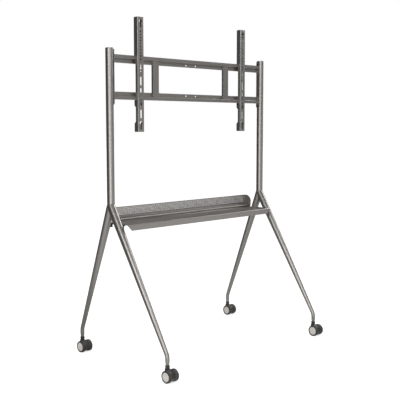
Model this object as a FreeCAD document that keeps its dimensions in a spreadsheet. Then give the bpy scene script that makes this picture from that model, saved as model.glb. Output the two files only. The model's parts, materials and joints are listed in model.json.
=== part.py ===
import FreeCAD, Part
import math
import os
import Sketcher

# Mobile television stand on two splayed A-frames with twin-wheel casters.
# +X right, +Y towards the back, +Z up. The screen hangs on the -Y side.
# The origin is on the floor, under the middle of the stand. Lengths are in millimetres.

DRIVING_DIMENSIONS = {
    # posts and legs
    "post_spacing": 1180.0,
    "post_diameter": 40.0,
    "tube_wall": 2.0,
    "post_height": 1653.0,
    "junction_height": 841.0,
    "front_reach": 436.0,
    "rear_reach": 273.0,
    "leg_top_diameter": 45.0,
    "leg_tip_diameter": 22.5,
    "leg_bend_height": 126.0,
    "leg_bend_radius": 60.0,
    "leg_end_height": 82.0,
    "swage_diameter": 18.5,
    "swage_length": 16.0,
    # caps in the post tops
    "cap_thickness": 4.0,
    "cap_bevel": 2.0,
    "cap_plug_length": 14.0,
    # height holes in the posts
    "post_hole_diameter": 9.0,
    "post_hole_pitch": 85.0,
    "post_hole_count": 7.0,
    "top_hole_drop": 23.0,
    # end plates of the carrier frame
    "plate_thickness": 4.0,
    "plate_width": 24.0,
    "plate_head": 18.0,
    "plate_foot": 13.0,
    "plate_chamfer": 7.0,
    # stepped rails
    "rail_rise": 8.5,
    "rail_set": 232.0,
    "band_height": 19.5,
    "web_height": 22.0,
    "band_setting": 5.5,
    "step_depth": 15.5,
    "rail_thickness": 2.5,
    "rail_hole_spacing": 75.0,
    "rail_hole_diameter": 9.0,
    # stiles between the rails
    "stile_spacing": 550.0,
    "stile_width": 42.5,
    "stile_thickness": 2.0,
    "stile_depth": 13.0,
    "stile_crease": 2.0,
    # television arms
    "arm_spacing": 800.0,
    "arm_length": 603.0,
    "arm_rise": 16.5,
    "arm_width": 42.5,
    "arm_thickness": 2.0,
    "arm_standoff": 19.5,
    "arm_deep_flange": 30.5,
    "hook_drop": 10.0,
    "arm_tab_depth": 30.0,
    "arm_tab_height": 28.0,
    "arm_foot_height": 45.0,
    "arm_slant": 10.0,
    "arm_edge_radius": 3.0,
    "arm_corner_radius": 6.0,
    "arm_hole_diameter": 10.0,
    "arm_hole_pitch": 16.0,
    "arm_hole_count": 11.0,
    "arm_first_hole": 75.5,
    "arm_small_hole": 7.0,
    "arm_small_neck": 5.5,
    "keyhole_diameter": 20.0,
    "keyhole_length": 45.0,
    "keyhole_inset": 12.0,
    "lock_bolt_diameter": 6.0,
    "lock_bolt_head": 10.5,
    # tray
    "tray_drop": 99.0,
    "tray_thickness": 2.0,
    "tray_side_gap": 1.0,
    "tray_front": 111.0,
    "tray_floor_depth": 150.0,
    "tray_lip": 31.5,
    "tray_lip_cut": 27.0,
    "tray_riser": 15.0,
    "tray_ledge_depth": 53.0,
    "tray_back_height": 58.0,
    "tray_back_inset": 16.0,
    "tray_cheek_radius": 37.0,
    "tray_bend_radius": 3.0,
    "lug_width": 16.0,
    "lug_reach": 24.0,
    "lug_drop": 20.0,
    "lug_thickness": 4.0,
    "lug_bite": 6.0,
    # screws
    "screw_diameter": 6.0,
    "screw_head_diameter": 11.0,
    "screw_head_height": 3.3,
    "plate_screw_head_diameter": 14.0,
    "small_bevel": 1.0,
    # casters
    "wheel_diameter": 63.5,
    "wheel_width": 21.5,
    "wheel_gap": 20.6,
    "tread_bevel": 2.2,
    "rim_thickness": 9.5,
    "wheel_disc_thickness": 4.0,
    "hub_diameter": 17.0,
    "hub_standoff": 1.0,
    "hub_cap_diameter": 49.0,
    "hub_cap_depth": 3.2,
    "hub_cap_proud": 0.7,
    "hub_cap_dish": 0.8,
    "axle_diameter": 8.0,
    "axle_inset": 7.0,
    "axle_head_diameter": 11.6,
    "axle_head_length": 1.4,
    "caster_trail": 20.0,
    "hood_width": 18.0,
    "hood_diameter": 56.0,
    "hood_shoulder": 60.5,
    "neck_diameter": 22.0,
    "collar_diameter": 23.5,
    "collar_height": 9.0,
    "stem_diameter": 11.0,
    "stem_rise": 34.0,
    "stem_depth": 38.0,
    "stem_groove_inset": 6.0,
    # brake pedals
    "pedal_width": 17.0,
    "pedal_height": 23.0,
    "pedal_arc_diameter": 61.0,
    "pedal_tongue": 8.0,
    "pedal_pin_diameter": 3.0,
    "pedal_pivot_inset": 10.0,
    "pedal_pivot_drop": 12.75,
    "pedal_top_drop": 5.0,
    "pedal_recess": 8.6,
    "pedal_notch": 5.0,
    "pedal_swing_room": 5.0,
    # clearances
    "running_clearance": 0.05,
    "free_gap": 0.3,
    "bolt_clearance": 0.5,
}

SHEET = "Dimensions"


class Size:
    """A length with its value in millimetres and its text for the document."""

    def __init__(self, value, text=None):
        self.value = float(value)
        self.text = text if text is not None else repr(float(value))

    def joined(self, other, symbol, value):
        return Size(value, "(" + self.text + " " + symbol + " " + other.text + ")")

    def __add__(self, other):
        other = as_size(other)
        return self.joined(other, "+", self.value + other.value)

    def __radd__(self, other):
        return as_size(other) + self

    def __sub__(self, other):
        other = as_size(other)
        return self.joined(other, "-", self.value - other.value)

    def __rsub__(self, other):
        return as_size(other) - self

    def __mul__(self, other):
        other = as_size(other)
        return self.joined(other, "*", self.value * other.value)

    def __rmul__(self, other):
        return as_size(other) * self

    def __truediv__(self, other):
        other = as_size(other)
        return self.joined(other, "/", self.value / other.value)

    def __neg__(self):
        return as_size(0.0) - self


def as_size(value):
    return value if isinstance(value, Size) else Size(value)


def square_root(size):
    return Size(math.sqrt(size.value), "sqrt(" + size.text + ")")


def larger(first, second):
    return Size(max(first.value, second.value), "max(" + first.text + "; " + second.text + ")")


class Dimensions:
    """The driving dimensions, each a Size under its own name."""


doc = FreeCAD.newDocument("MobileTelevisionStand")
sheet = doc.addObject("Spreadsheet::Sheet", SHEET)
D = Dimensions()
for row, (name, value) in enumerate(DRIVING_DIMENSIONS.items(), start=1):
    sheet.set("A" + str(row), name)
    sheet.set("B" + str(row), str(value))
    sheet.setAlias("B" + str(row), name)
    setattr(D, name, Size(value, SHEET + "." + name))
doc.recompute()

# Places that several pieces share, worked out from the driving dimensions
POST_X = D.post_spacing / 2
POST_RADIUS = D.post_diameter / 2
WHEEL_RADIUS = D.wheel_diameter / 2
FRONT_END = D.front_reach + D.caster_trail + WHEEL_RADIUS
REAR_WHEEL_END = D.rear_reach - D.caster_trail + WHEEL_RADIUS
REAR_LEG_END = D.rear_reach + larger(D.leg_tip_diameter, D.collar_diameter) / 2
REAR_END = larger(REAR_WHEEL_END, REAR_LEG_END)
POST_Y = (FRONT_END - REAR_END) / 2

TOP_HOLE_Z = D.post_height - D.top_hole_drop
LOW_BOLT_Z = TOP_HOLE_Z - 3 * D.post_hole_pitch
PLATE_INNER_X = POST_X - POST_RADIUS - D.plate_thickness
UPPER_RAIL_TOP = TOP_HOLE_Z - D.rail_rise
LOWER_RAIL_FOOT = UPPER_RAIL_TOP - D.rail_set
BAND_FRONT = -D.band_setting
BAND_BACK = BAND_FRONT + D.rail_thickness
WEB_FRONT = BAND_FRONT + D.step_depth
WEB_BACK = WEB_FRONT + D.rail_thickness
UPPER_STEP = UPPER_RAIL_TOP - D.band_height
LOWER_STEP = LOWER_RAIL_FOOT + D.band_height
ARM_TOP = (UPPER_RAIL_TOP + LOWER_RAIL_FOOT + D.arm_length) / 2 + D.arm_rise
ARM_FOOT = ARM_TOP - D.arm_length
ARM_FACE = BAND_FRONT - D.arm_standoff

all_parts = []


def bind(item, target, size):
    """Ties one value of a document object to the sheet."""
    item.setExpression(target, as_size(size).text)


def place(item, x=0.0, y=0.0, z=0.0, rotation=None):
    """Puts an object at x, y, z, counted from the plane of the posts."""
    spots = [as_size(x), as_size(y) + POST_Y, as_size(z)]
    turn = rotation if rotation is not None else FreeCAD.Rotation()
    item.Placement = FreeCAD.Placement(FreeCAD.Vector(*[spot.value for spot in spots]), turn)
    for axis, spot in zip("xyz", spots):
        bind(item, "Placement.Base." + axis, spot)


def keep(item, label):
    """Marks an object as a finished sub-part of the stand."""
    item.Label = label
    all_parts.append(item)
    return item


def new_body(label):
    return keep(doc.addObject("PartDesign::Body", "Body_" + label), label)


def new_sketch(body, plane, offset=0.0):
    """A sketch on one of the body's own planes. Looking from +Z, +X or -Y at XY, YZ or XZ."""
    sketch = body.newObject("Sketcher::SketchObject", "Sketch")
    for feature in body.Origin.OriginFeatures:
        if feature.Role == plane + "_Plane":
            sketch.AttachmentSupport = [(feature, "")]
    sketch.MapMode = "FlatFace"
    distance = as_size(offset)
    if plane == "XZ":
        distance = -distance
    sketch.AttachmentOffset = FreeCAD.Placement(
        FreeCAD.Vector(0, 0, distance.value), FreeCAD.Rotation())
    bind(sketch, "AttachmentOffset.Base.z", distance)
    return sketch


def fix_number(sketch, constraint, size):
    """Adds one measured constraint and ties it to the sheet."""
    index = sketch.addConstraint(constraint)
    name = "size" + str(index)
    sketch.renameConstraint(index, name)
    bind(sketch, "Constraints." + name, size)


def fix_point(sketch, geometry, vertex, x, y):
    for axis, size in (("X", as_size(x)), ("Y", as_size(y))):
        rule = Sketcher.Constraint("Distance" + axis, -1, 1, geometry, vertex, size.value)
        fix_number(sketch, rule, size)


def draw_outline(sketch, points):
    """A closed outline of straight lines."""
    sizes = [(as_size(x), as_size(y)) for x, y in points]
    corners = [FreeCAD.Vector(x.value, y.value, 0) for x, y in sizes]
    lines = []
    for start, end in zip(corners, corners[1:] + corners[:1]):
        lines.append(sketch.addGeometry(Part.LineSegment(start, end), False))
    for line, following in zip(lines, lines[1:] + lines[:1]):
        sketch.addConstraint(Sketcher.Constraint("Coincident", line, 2, following, 1))
    for line, (x, y) in zip(lines, sizes):
        fix_point(sketch, line, 1, x, y)


def draw_box(sketch, x_low, x_high, y_low, y_high):
    draw_outline(sketch, [(x_low, y_low), (x_high, y_low), (x_high, y_high), (x_low, y_high)])


def draw_circle(sketch, x, y, diameter):
    x, y, radius = as_size(x), as_size(y), as_size(diameter) / 2
    middle = FreeCAD.Vector(x.value, y.value, 0)
    circle = sketch.addGeometry(Part.Circle(middle, FreeCAD.Vector(0, 0, 1), radius.value), False)
    fix_point(sketch, circle, 3, x, y)
    fix_number(sketch, Sketcher.Constraint("Radius", circle, radius.value), radius)


def draw_slot(sketch, x, low, high, width):
    """An upright slot with round ends."""
    x, low, high, radius = as_size(x), as_size(low), as_size(high), as_size(width) / 2
    ends = ((high - radius, 0.0, math.pi), (low + radius, math.pi, 2 * math.pi))
    arcs = []
    for height, first, last in ends:
        circle = Part.Circle(
            FreeCAD.Vector(x.value, height.value, 0), FreeCAD.Vector(0, 0, 1), radius.value)
        arcs.append(sketch.addGeometry(Part.ArcOfCircle(circle, first, last), False))
    top, bottom = arcs
    left, right = x.value - radius.value, x.value + radius.value
    high_y, low_y = ends[0][0].value, ends[1][0].value
    left_line = sketch.addGeometry(
        Part.LineSegment(FreeCAD.Vector(left, high_y, 0), FreeCAD.Vector(left, low_y, 0)), False)
    right_line = sketch.addGeometry(
        Part.LineSegment(FreeCAD.Vector(right, low_y, 0), FreeCAD.Vector(right, high_y, 0)), False)
    for first, first_end, second, second_end in (
            (top, 2, left_line, 1), (left_line, 2, bottom, 1),
            (bottom, 2, right_line, 1), (right_line, 2, top, 1)):
        sketch.addConstraint(
            Sketcher.Constraint("Tangent", first, first_end, second, second_end))
    fix_point(sketch, top, 3, x, ends[0][0])
    fix_point(sketch, bottom, 3, x, ends[1][0])
    fix_number(sketch, Sketcher.Constraint("Radius", top, radius.value), radius)


def pad(body, sketch, length, midplane=False, flip=False):
    feature = body.newObject("PartDesign::Pad", "Pad")
    feature.Profile = sketch
    feature.Length = as_size(length).value
    bind(feature, "Length", length)
    feature.Midplane = midplane
    feature.Reversed = flip
    return feature


def pocket(body, sketch, length, midplane=False, flip=False):
    """Cuts against the sketch's own direction, or along it when flipped."""
    feature = body.newObject("PartDesign::Pocket", "Pocket")
    feature.Profile = sketch
    feature.Length = as_size(length).value
    bind(feature, "Length", length)
    feature.Midplane = midplane
    feature.Reversed = flip
    return feature


def revolve(body, sketch, axis):
    """A full turn of a profile about the sketch's H_Axis or V_Axis."""
    feature = body.newObject("PartDesign::Revolution", "Revolution")
    feature.Profile = sketch
    feature.ReferenceAxis = (sketch, [axis])
    feature.Angle = 360.0
    return feature


def repeat_downwards(body, feature, sketch, pitch, count):
    """Repeats a cut down the sketch's upright axis."""
    pattern = body.newObject("PartDesign::LinearPattern", "LinearPattern")
    pattern.Originals = [feature]
    pattern.Direction = (sketch, ["V_Axis"])
    pattern.Reversed = True
    span = as_size(pitch) * (as_size(count) - 1)
    pattern.Length = span.value
    bind(pattern, "Length", span)
    pattern.Occurrences = int(as_size(count).value)
    bind(pattern, "Occurrences", count)
    body.Tip = pattern


def round_edges(body, feature, radius, wanted, kind="PartDesign::Fillet"):
    """Rounds or bevels the edges of a feature whose middle point passes the test."""
    doc.recompute()
    names = []
    for index, edge in enumerate(feature.Shape.Edges, start=1):
        if wanted(edge):
            names.append("Edge" + str(index))
    if not names:
        raise ValueError("no edge to round on " + body.Label)
    rounded = body.newObject(kind, "Rounding")
    rounded.Base = (feature, names)
    target = "Radius" if kind.endswith("Fillet") else "Size"
    setattr(rounded, target, as_size(radius).value)
    bind(rounded, target, radius)
    return rounded


def edge_runs(edge, direction):
    """True for a straight edge along the named axis."""
    if len(edge.Vertexes) != 2 or not isinstance(edge.Curve, Part.Line):
        return False
    run = edge.Vertexes[1].Point - edge.Vertexes[0].Point
    sizes = {"x": abs(run.x), "y": abs(run.y), "z": abs(run.z)}
    along = sizes.pop(direction)
    return along > 0 and max(sizes.values()) < 1e-6 * along


def is_near(first, second):
    return abs(first - as_size(second).value) < 0.02


def solid_box(name, x_low, x_high, y_low, y_high, z_low, z_high):
    """A plain block between six planes, for joining and cutting."""
    block = doc.addObject("Part::Box", name)
    spans = (("Length", x_low, x_high), ("Width", y_low, y_high), ("Height", z_low, z_high))
    for target, low, high in spans:
        span = as_size(high) - as_size(low)
        setattr(block, target, span.value)
        bind(block, target, span)
    place(block, x_low, y_low, z_low)
    return block


def solid_cylinder(name, radius, length, x, y, z, rotation=None):
    rod = doc.addObject("Part::Cylinder", name)
    rod.Radius = as_size(radius).value
    bind(rod, "Radius", radius)
    rod.Height = as_size(length).value
    bind(rod, "Height", length)
    place(rod, x, y, z, rotation)
    return rod


def cut_from(base, tool, label=None):
    result = doc.addObject("Part::Cut", "Cut")
    result.Base = base
    result.Tool = tool
    return keep(result, label) if label else result


def common_of(base, tool):
    result = doc.addObject("Part::Common", "Common")
    result.Base = base
    result.Tool = tool
    return result


def fuse_all(items, label=None):
    result = doc.addObject("Part::MultiFuse", "Fusion")
    result.Shapes = items
    return keep(result, label) if label else result


# Ends of the arm's slots, as shares of the face from the lower rail's foot up to the row of
# holes, and from the lower keyhole up to that foot
SLOTS_ABOVE = ((0.085, 0.32), (0.385, 0.62))
SLOTS_BELOW = ((0.14, 0.547), (0.683, 0.909))

ALONG_X = FreeCAD.Rotation(FreeCAD.Vector(0, 1, 0), 90)
SIDES = (("left", -1), ("right", 1))


# Posts: round tubes with a V-shaped foot and a row of holes down the inner wall

def mitre(reach):
    """Rise of the seam between post and leg at one radius from the post's axis."""
    drop = D.junction_height - D.leg_bend_height
    length = square_root(reach * reach + drop * drop)
    return POST_RADIUS * (length - drop) / reach


def make_post(label, side):
    body = new_body(label)
    foot = D.junction_height
    tube = new_sketch(body, "XY", foot)
    draw_circle(tube, 0, 0, D.post_diameter)
    draw_circle(tube, 0, 0, D.post_diameter - 2 * D.tube_wall)
    pad(body, tube, D.post_height - D.cap_thickness - foot)
    seam = new_sketch(body, "YZ")
    spread = D.post_diameter
    draw_outline(seam, [
        (0, foot),
        (-spread, foot + 2 * mitre(D.front_reach)),
        (-spread, foot - spread),
        (spread, foot - spread),
        (spread, foot + 2 * mitre(D.rear_reach)),
    ])
    pocket(body, seam, 2 * D.post_diameter, midplane=True)
    hole = new_sketch(body, "YZ")
    draw_circle(hole, 0, TOP_HOLE_Z, D.post_hole_diameter)
    drilled = pocket(body, hole, D.post_diameter, flip=(side < 0))
    repeat_downwards(body, drilled, hole, D.post_hole_pitch, D.post_hole_count)
    place(body, side * POST_X)


def make_post_cap(label, side):
    body = new_body(label)
    top = D.post_height
    seat = top - D.cap_thickness
    plug = POST_RADIUS - D.tube_wall - D.running_clearance
    profile = new_sketch(body, "XZ")
    draw_outline(profile, [
        (0, top),
        (POST_RADIUS - D.cap_bevel, top),
        (POST_RADIUS, top - D.cap_bevel),
        (POST_RADIUS, seat),
        (plug, seat),
        (plug, seat - D.cap_plug_length),
        (plug - D.tube_wall, seat - D.cap_plug_length),
        (plug - D.tube_wall, seat),
        (0, seat),
    ])
    revolve(body, profile, "V_Axis")
    place(body, side * POST_X)


# Legs: tapered round tubes that lean out, bend upright and are swaged in for the caster stem

def leg_axis_top(reach):
    """Where the leg's axis meets the post's, so that its outer side runs on from the post's."""
    drop = D.junction_height - D.leg_bend_height
    run = square_root(reach * reach + drop * drop)
    return D.junction_height - (D.leg_top_diameter - D.post_diameter) / 2 * run / reach


def leg_solid(name, side, lean, reach, inset):
    """One leg's outside, or its hollow when inset is the wall."""
    x = side * POST_X
    drop = leg_axis_top(reach) - D.leg_bend_height
    run = square_root(reach * reach + drop * drop)
    turn = math.degrees(math.atan2(reach.value, drop.value))
    turn_text = "atan(" + (reach / drop).text + ")"
    tangent = D.leg_bend_radius * (run - drop) / reach
    straight = run - tangent
    overrun = D.post_diameter
    narrowing = (D.leg_top_diameter - D.leg_tip_diameter) / 2 / straight
    thick_end = D.leg_top_diameter / 2 + narrowing * overrun - inset
    cone = doc.addObject("Part::Cone", name + "_taper")
    cone.Radius1 = thick_end.value
    bind(cone, "Radius1", thick_end)
    cone.Radius2 = (D.leg_tip_diameter / 2 - inset).value
    bind(cone, "Radius2", D.leg_tip_diameter / 2 - inset)
    cone.Height = (straight + overrun).value
    bind(cone, "Height", straight + overrun)
    direction = FreeCAD.Rotation(FreeCAD.Vector(1, 0, 0), 180 + lean * turn)
    top_y = -1 * lean * overrun * reach / run
    top_z = leg_axis_top(reach) + overrun * drop / run
    place(cone, x, top_y, top_z, direction)
    cone.setExpression("Placement.Rotation.Angle", "180 deg + " + str(lean) + " * " + turn_text)

    bend_end = D.leg_bend_height - tangent
    bend = doc.addObject("Part::Torus", name + "_bend")
    bend.Radius1 = D.leg_bend_radius.value
    bind(bend, "Radius1", D.leg_bend_radius)
    bend.Radius2 = (D.leg_tip_diameter / 2 - inset).value
    bind(bend, "Radius2", D.leg_tip_diameter / 2 - inset)
    bend.Angle3 = turn
    bend.setExpression("Angle3", turn_text)
    across = FreeCAD.Vector(0, lean, 0)
    upwards = FreeCAD.Vector(0, 0, 1)
    facing = FreeCAD.Rotation(across, upwards, across.cross(upwards), "XYZ")
    place(bend, x, lean * (reach - D.leg_bend_radius), bend_end, facing)

    swage_top = D.leg_end_height + D.swage_length
    stub = solid_cylinder(name + "_stub", D.leg_tip_diameter / 2 - inset,
                          bend_end - swage_top, x, lean * reach, swage_top)
    if inset.value > 0:
        bore = D.stem_diameter / 2 + D.running_clearance
        swage = solid_cylinder(name + "_bore", bore, 3 * D.swage_length,
                               x, lean * reach, swage_top - 2 * D.swage_length)
        return fuse_all([cone, bend, stub, swage])
    swage = doc.addObject("Part::Cone", name + "_swage")
    swage.Radius1 = (D.swage_diameter / 2).value
    bind(swage, "Radius1", D.swage_diameter / 2)
    swage.Radius2 = (D.leg_tip_diameter / 2).value
    bind(swage, "Radius2", D.leg_tip_diameter / 2)
    swage.Height = D.swage_length.value
    bind(swage, "Height", D.swage_length)
    place(swage, x, lean * reach, D.leg_end_height)
    return fuse_all([cone, bend, stub, swage])


def seam_prism(name, side, lean, reach, other_reach):
    """The wedge of space that one leg fills below the post's foot."""
    body = doc.addObject("PartDesign::Body", name)
    sketch = new_sketch(body, "YZ")
    drop = D.junction_height - D.leg_bend_height
    run = square_root(reach * reach + drop * drop)
    other_run = square_root(other_reach * other_reach + drop * drop)
    spread = 2 * D.post_diameter
    seam_y = reach / run - other_reach / other_run
    seam_z = drop / run + drop / other_run
    depth = D.junction_height
    draw_outline(sketch, [
        (0, D.junction_height),
        (lean * spread, D.junction_height + 4 * mitre(reach)),
        (lean * (reach + spread), 0),
        (lean * depth * seam_y / seam_z, 0),
    ])
    pad(body, sketch, 2 * D.post_diameter, midplane=True)
    place(body, side * POST_X)
    return body


outer_legs = {}


def make_leg(label, side, lean, reach, other_reach):
    outside = leg_solid(label + "_out", side, lean, reach, Size(0))
    hollow = leg_solid(label + "_in", side, lean, reach, D.tube_wall)
    prism = seam_prism(label + "_seam", side, lean, reach, other_reach)
    outer_legs[label] = outside
    tube = cut_from(outside, hollow)
    keep(common_of(tube, prism), label)


# Carrier frame: end plates on the posts, two stepped rails and two stiles

def make_end_plate(label, side):
    body = new_body(label)
    top = TOP_HOLE_Z + D.plate_head
    foot = LOW_BOLT_Z - D.plate_foot
    half = D.plate_width / 2
    face = new_sketch(body, "YZ")
    draw_outline(face, [
        (-half, top), (-half, foot + D.plate_chamfer), (D.plate_chamfer - half, foot),
        (half - D.plate_chamfer, foot), (half, foot + D.plate_chamfer), (half, top),
    ])
    slab = pad(body, face, D.plate_thickness, flip=(side < 0))
    round_edges(body, slab, D.plate_chamfer,
                lambda edge: edge_runs(edge, "x") and is_near(edge.CenterOfMass.z, top))
    holes = new_sketch(body, "YZ")
    for height in (TOP_HOLE_Z, LOW_BOLT_Z):
        draw_circle(holes, 0, height, D.post_hole_diameter)
    pocket(body, holes, 4 * D.plate_thickness, midplane=True)
    place(body, side * PLATE_INNER_X)


def make_rail(label, edge_z, towards):
    """A stepped rail. Its band starts at edge_z and its web is set back beyond it."""
    body = new_body(label)
    thickness = D.rail_thickness
    step = edge_z + towards * D.band_height
    end = step + towards * D.web_height
    section = new_sketch(body, "YZ")
    draw_outline(section, [
        (BAND_FRONT, edge_z),
        (BAND_FRONT, step),
        (WEB_FRONT, step),
        (WEB_FRONT, end),
        (WEB_BACK, end),
        (WEB_BACK, step - towards * thickness),
        (BAND_BACK, step - towards * thickness),
        (BAND_BACK, edge_z),
    ])
    bar = pad(body, section, 2 * PLATE_INNER_X, midplane=True)
    corners = ((BAND_FRONT, step), (WEB_BACK, step - towards * thickness))

    def is_outer_bend(edge):
        if not edge_runs(edge, "x"):
            return False
        spot = edge.CenterOfMass
        return any(is_near(spot.y, y) and is_near(spot.z, z) for y, z in corners)

    round_edges(body, bar, D.rail_thickness, is_outer_bend)
    holes = new_sketch(body, "XZ")
    for side in (-1, 1):
        draw_circle(holes, side * D.rail_hole_spacing / 2, (step + end) / 2,
                    D.rail_hole_diameter)
    pocket(body, holes, 4 * D.step_depth, midplane=True)
    place(body)


def make_stile(label, side):
    """An open channel with a shallow crease down its face, welded on the rail webs."""
    body = new_body(label)
    half = D.stile_width / 2
    front = WEB_FRONT - D.stile_depth
    back = WEB_FRONT
    wall = D.stile_thickness
    section = new_sketch(body, "XY", LOWER_STEP)
    draw_outline(section, [
        (-half, back), (-half, front), (0, front + D.stile_crease), (half, front), (half, back),
        (half - wall, back), (half - wall, front + wall),
        (0, front + wall + D.stile_crease),
        (wall - half, front + wall), (wall - half, back),
    ])
    pad(body, section, UPPER_STEP - LOWER_STEP)
    place(body, side * D.stile_spacing / 2)


def button_screw(name, plane, axis, along, head, shank, length):
    """A button-head screw whose head rests on the origin and whose shank runs the given way."""
    body = doc.addObject("PartDesign::Body", name)
    profile = new_sketch(body, plane)
    height = D.screw_head_height
    outline = [
        (-along * height, 0), (-along * height, head / 2 - 2 * D.small_bevel),
        (-along * D.small_bevel, head / 2), (0, head / 2), (0, shank / 2),
        (along * length, shank / 2), (along * length, 0),
    ]
    if axis == "V_Axis":
        outline = [(radius, reach) for reach, radius in outline]
    draw_outline(profile, outline)
    revolve(body, profile, axis)
    return body


def keep_group(name, pieces, label):
    group = doc.addObject("Part::Compound", name)
    group.Links = pieces
    keep(group, label)


def make_carrier_bolts(label):
    """Four bolts through the end plates into the posts."""
    pieces = []
    shank = D.post_hole_diameter - 2 * D.bolt_clearance
    reach = D.plate_thickness + D.tube_wall + D.screw_diameter
    for side in (-1, 1):
        for height in (TOP_HOLE_Z, LOW_BOLT_Z):
            bolt = button_screw("CarrierBolt", "XY", "H_Axis", side,
                                D.plate_screw_head_diameter, shank, reach)
            place(bolt, side * PLATE_INNER_X, 0, height)
            pieces.append(bolt)
    keep_group("CarrierBolts", pieces, label)


# Television arms: channels that hook over the upper rail and carry the screen's bolts

LOCK_BOLT_Y = BAND_FRONT + D.rail_thickness / 2
LOCK_BOLT_Z = LOWER_RAIL_FOOT - D.free_gap - D.lock_bolt_diameter


def make_arm(label, side):
    body = new_body(label)
    face = ARM_FACE
    shallow = BAND_FRONT - D.free_gap
    deep = ARM_FACE + D.arm_deep_flange
    hook_front = BAND_BACK + D.free_gap
    hang = UPPER_RAIL_TOP + D.free_gap
    tab_back = ARM_FACE + D.arm_tab_depth
    tab_top = LOWER_RAIL_FOOT - D.free_gap
    tab_foot = tab_top - D.arm_tab_height
    foot_top = ARM_FOOT + D.arm_foot_height
    outline = new_sketch(body, "YZ")
    draw_outline(outline, [
        (face, ARM_TOP),
        (face, ARM_FOOT),
        (tab_back, ARM_FOOT),
        (tab_back, foot_top),
        (shallow, foot_top + D.arm_slant),
        (shallow, tab_foot - D.arm_slant),
        (tab_back, tab_foot),
        (tab_back, tab_top),
        (shallow, tab_top),
        (shallow, hang),
        (hook_front, hang),
        (hook_front, hang - D.hook_drop),
        (deep, hang - D.hook_drop),
        (deep, ARM_TOP),
    ])
    block = pad(body, outline, D.arm_width, midplane=True)
    corners = ((deep, ARM_TOP), (tab_back, ARM_FOOT), (tab_back, foot_top), (tab_back, tab_foot))

    def is_corner(edge):
        if not edge_runs(edge, "x"):
            return False
        spot = edge.CenterOfMass
        return any(is_near(spot.y, y) and is_near(spot.z, z) for y, z in corners)

    rounded = round_edges(body, block, D.arm_corner_radius, is_corner)
    round_edges(body, rounded, D.arm_edge_radius,
                lambda edge: edge_runs(edge, "z") and is_near(edge.CenterOfMass.y, face))
    channel = new_sketch(body, "XZ", face + D.arm_thickness)
    half = D.arm_width / 2 - D.arm_thickness
    draw_box(channel, -half, half, ARM_FOOT - D.arm_width, ARM_TOP + D.arm_width)
    pocket(body, channel, 4 * D.arm_deep_flange)

    hole = new_sketch(body, "XZ", face)
    draw_circle(hole, 0, ARM_TOP - D.arm_first_hole, D.arm_hole_diameter)
    drilled = pocket(body, hole, 2 * D.arm_thickness, midplane=True)
    repeat_downwards(body, drilled, hole, D.arm_hole_pitch, D.arm_hole_count)

    openings = new_sketch(body, "XZ", face)
    width = D.arm_hole_diameter
    last_hole = ARM_TOP - D.arm_first_hole - D.arm_hole_pitch * (D.arm_hole_count - 1)
    neck_foot = last_hole - 2 * D.arm_hole_pitch
    draw_circle(openings, 0, neck_foot, width)
    draw_circle(openings, 0, neck_foot - D.arm_hole_pitch, D.arm_small_hole)
    keyhole_tops = (ARM_TOP - D.keyhole_inset, ARM_FOOT + D.keyhole_length + D.keyhole_inset)
    for base, span, slots in (
            (LOWER_RAIL_FOOT, last_hole - LOWER_RAIL_FOOT, SLOTS_ABOVE),
            (keyhole_tops[1], LOWER_RAIL_FOOT - keyhole_tops[1], SLOTS_BELOW)):
        for low, high in slots:
            draw_slot(openings, 0, base + span * low, base + span * high, width)
    draw_circle(openings, 0, LOWER_RAIL_FOOT, width)
    for head in keyhole_tops:
        draw_circle(openings, 0, head - D.keyhole_diameter / 2, D.keyhole_diameter)
    pocket(body, openings, 2 * D.arm_thickness, midplane=True)

    necks = new_sketch(body, "XZ", face)
    draw_slot(necks, 0, neck_foot, neck_foot + 2 * width, D.arm_small_neck)
    for head in keyhole_tops:
        draw_slot(necks, 0, head - D.keyhole_length, head - D.keyhole_diameter / 2, width)
    pocket(body, necks, 2 * D.arm_thickness, midplane=True)

    bolt_hole = new_sketch(body, "YZ")
    draw_circle(bolt_hole, LOCK_BOLT_Y, LOCK_BOLT_Z, D.lock_bolt_diameter + D.bolt_clearance)
    pocket(body, bolt_hole, 2 * D.arm_width, midplane=True)
    place(body, side * D.arm_spacing / 2)


def make_arm_lock_bolt(label, side):
    """The cross bolt that stops an arm from being lifted off the rails."""
    body = new_body(label)
    radius = D.lock_bolt_diameter / 2
    half = D.arm_width / 2
    head = D.lock_bolt_head / 2
    bevel = D.small_bevel
    outline = [
        (-half - radius, 0), (-half - radius, head - bevel), (bevel - half - radius, head),
        (-half, head), (-half, radius), (half, radius), (half, head), (half + radius, head),
        (half + radius, radius), (half + 2 * radius, radius), (half + 2 * radius, 0),
    ]
    profile = new_sketch(body, "XY")
    draw_outline(profile, [(-side * along, reach) for along, reach in outline])
    revolve(body, profile, "H_Axis")
    place(body, side * D.arm_spacing / 2, LOCK_BOLT_Y, LOCK_BOLT_Z)


# Tray: one folded sheet with a front lip, a step, a raised back and turned-in ends

TRAY_HALF = POST_X - larger(D.post_diameter, D.leg_top_diameter) / 2 - D.tray_side_gap
TRAY_BACK = D.tray_floor_depth - D.tray_front
TRAY_TOP = D.junction_height - D.tray_drop
LUG_TOP = TRAY_TOP - D.tray_thickness
LUG_SCREW_X = TRAY_HALF - D.lug_reach / 2


def leg_spot(reach):
    """How far a leg's middle stands from the post's axis at the height of the lugs."""
    below = leg_axis_top(reach) - LUG_TOP + D.lug_drop / 2
    return below * reach / (leg_axis_top(reach) - D.leg_bend_height)


FRONT_LUG = -leg_spot(D.front_reach) - D.lug_width / 2, -leg_spot(D.front_reach) + D.lug_width / 2
REAR_LUG = TRAY_BACK - D.lug_width, larger(TRAY_BACK, leg_spot(D.rear_reach))
SCREW_SPOTS = -leg_spot(D.front_reach), TRAY_BACK - D.lug_width / 2


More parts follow.
